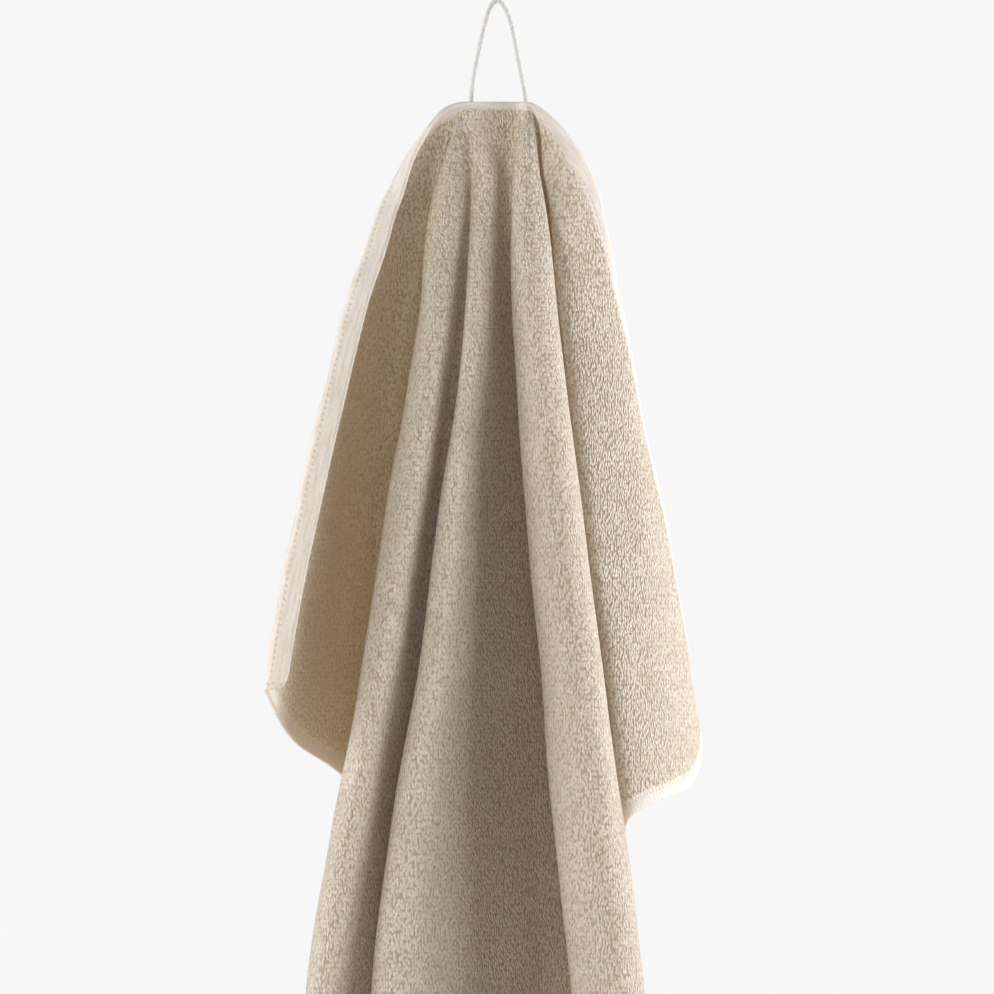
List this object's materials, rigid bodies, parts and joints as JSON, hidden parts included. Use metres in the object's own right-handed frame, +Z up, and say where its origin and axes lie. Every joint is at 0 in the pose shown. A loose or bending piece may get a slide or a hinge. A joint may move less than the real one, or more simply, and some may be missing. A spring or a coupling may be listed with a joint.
{
  "type": "bath towel",
  "caption": "Rectangular terry cloth towel hanging in deep lengthwise folds from a round cord loop sewn into the middle of its short top hem.",
  "frame": {"origin": "the inside of the hang loop's top, where a hook or peg would carry it", "axes": "+Z up, +X to the right as seen from the front, -Y out of the front towards the viewer"},
  "size_m": [0.2676, 0.1972, 1.5756],
  "materials": {
    "terry": "looped cotton terry, ecru, matt",
    "cord": "twisted cotton cord, off-white, matt"
  },
  "bodies": {
    "root": {"towel": "terry", "hang_loop": "cord"}
  },
  "joints": []
}
